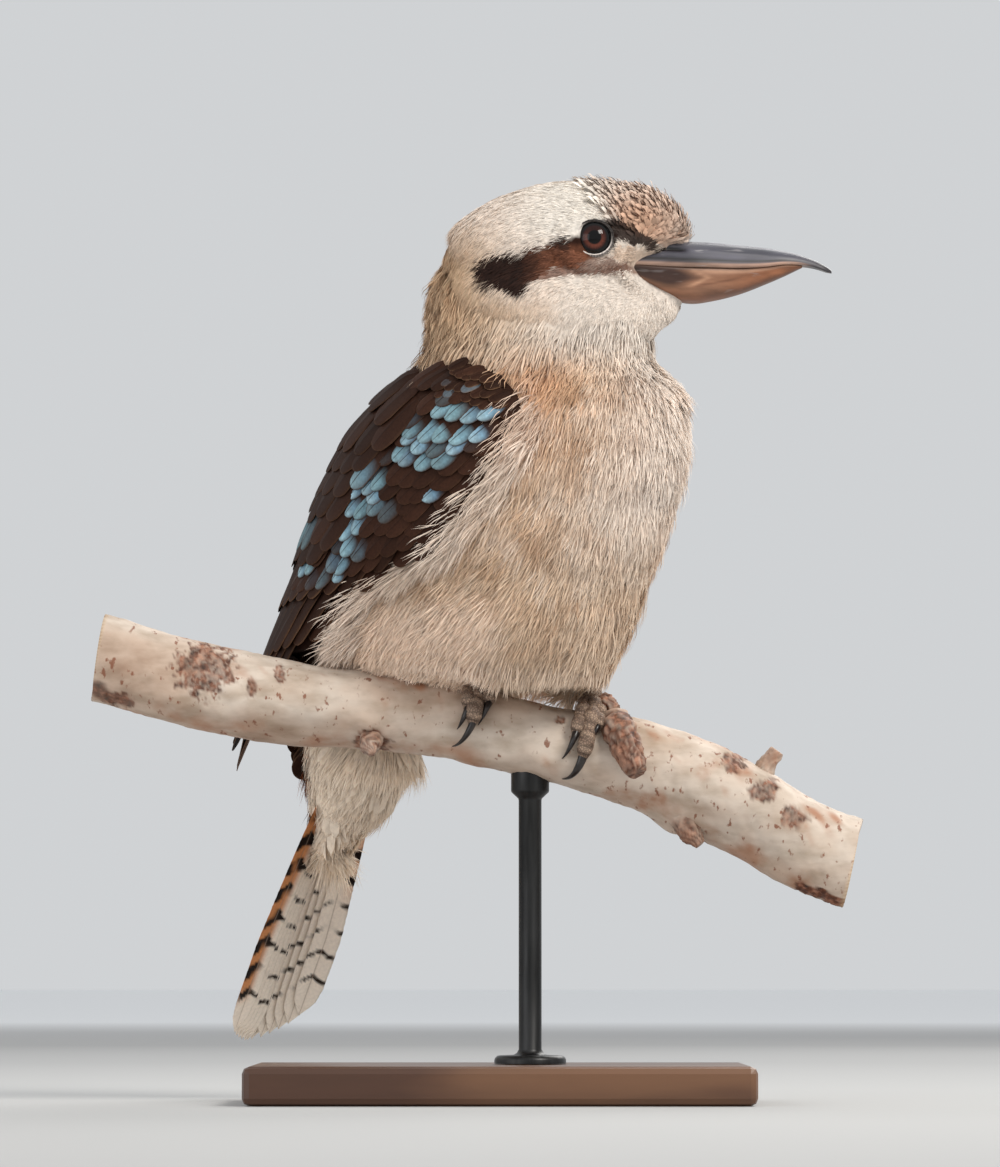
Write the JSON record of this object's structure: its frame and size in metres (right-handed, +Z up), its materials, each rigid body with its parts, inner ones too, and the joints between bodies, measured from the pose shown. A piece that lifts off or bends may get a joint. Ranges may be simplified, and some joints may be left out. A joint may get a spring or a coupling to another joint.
{
  "type": "life-size laughing kookaburra display model",
  "caption": "Still life-size laughing kookaburra gripping a cut length of pale branch, held by a rod on a flat wooden display base.",
  "frame": {"origin": "centre of the display base's underside, on the surface that the part stands on", "axes": "+Z up, +X along the branch towards the side the bill points to, +Y away from the side the picture was taken from; the bird's right wing is on the -Y side"},
  "size_m": [0.3215, 0.1823, 0.3863],
  "materials": {
    "belly_feathers": "soft, off-white washed with buff and grey-brown feathers",
    "head_feathers": "short cream feathers with a dark brown eye stripe and a rufous speckled forehead",
    "tail_feathers": "off-white below with narrow dark bars, rufous and black barred above",
    "wing_feathers": "dark chocolate brown feathers with pale blue spots",
    "upper_bill": "slate-black horn with pale scuffs, satin",
    "lower_bill": "horn-coloured, tan and orange-brown, satin",
    "eye": "wet gloss, dark red-brown iris and black pupil",
    "foot_skin": "dry grey-brown scales",
    "claw": "black horn, semi-gloss",
    "bark": "smooth cream and pink bark with rusty scars and specks",
    "base_wood": "dark stained, satin varnish",
    "rod_metal": "satin black"
  },
  "bodies": {
    "root": {"bill_lower": "lower_bill", "bill_upper": "upper_bill", "claw_left_hind": "claw", "claw_left_inner": "claw", "claw_left_middle": "claw", "claw_left_outer": "claw", "claw_right_hind": "claw", "claw_right_inner": "claw", "claw_right_middle": "claw", "claw_right_outer": "claw", "eye_left": "eye", "eye_right": "eye", "foot_left": "foot_skin", "foot_right": "foot_skin", "head": "head_feathers", "leg_left": "belly_feathers", "leg_right": "belly_feathers", "neck": "belly_feathers", "perch_branch": "bark", "stand_base": "base_wood", "stand_rod": "rod_metal", "tail": "tail_feathers", "torso": "belly_feathers", "wing_left": "wing_feathers", "wing_right": "wing_feathers"}
  },
  "joints": []
}
